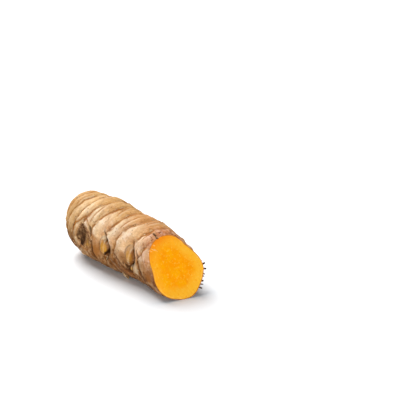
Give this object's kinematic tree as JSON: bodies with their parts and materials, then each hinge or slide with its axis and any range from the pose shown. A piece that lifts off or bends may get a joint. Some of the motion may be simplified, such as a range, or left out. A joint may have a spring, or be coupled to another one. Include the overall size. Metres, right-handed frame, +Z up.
{
  "type": "turmeric root",
  "caption": "Short thick finger of fresh turmeric lying on its side, with sheath rings, buds and root stubs, and one end cut at a slant to show the flesh.",
  "frame": {"origin": "middle of the footprint, on the surface that the finger lies on", "axes": "+X along the finger from its growing tip to the cut end, +Z up from the surface, +Y to the far side, with the row of three buds on the -Y side"},
  "size_m": [0.0662, 0.026, 0.0234],
  "materials": {
    "skin": "dull tan papery skin with pale dusty patches and brown ring lines, and moist bright orange flesh on the cut face"
  },
  "bodies": {
    "root": {"rhizome": "skin"}
  },
  "joints": []
}
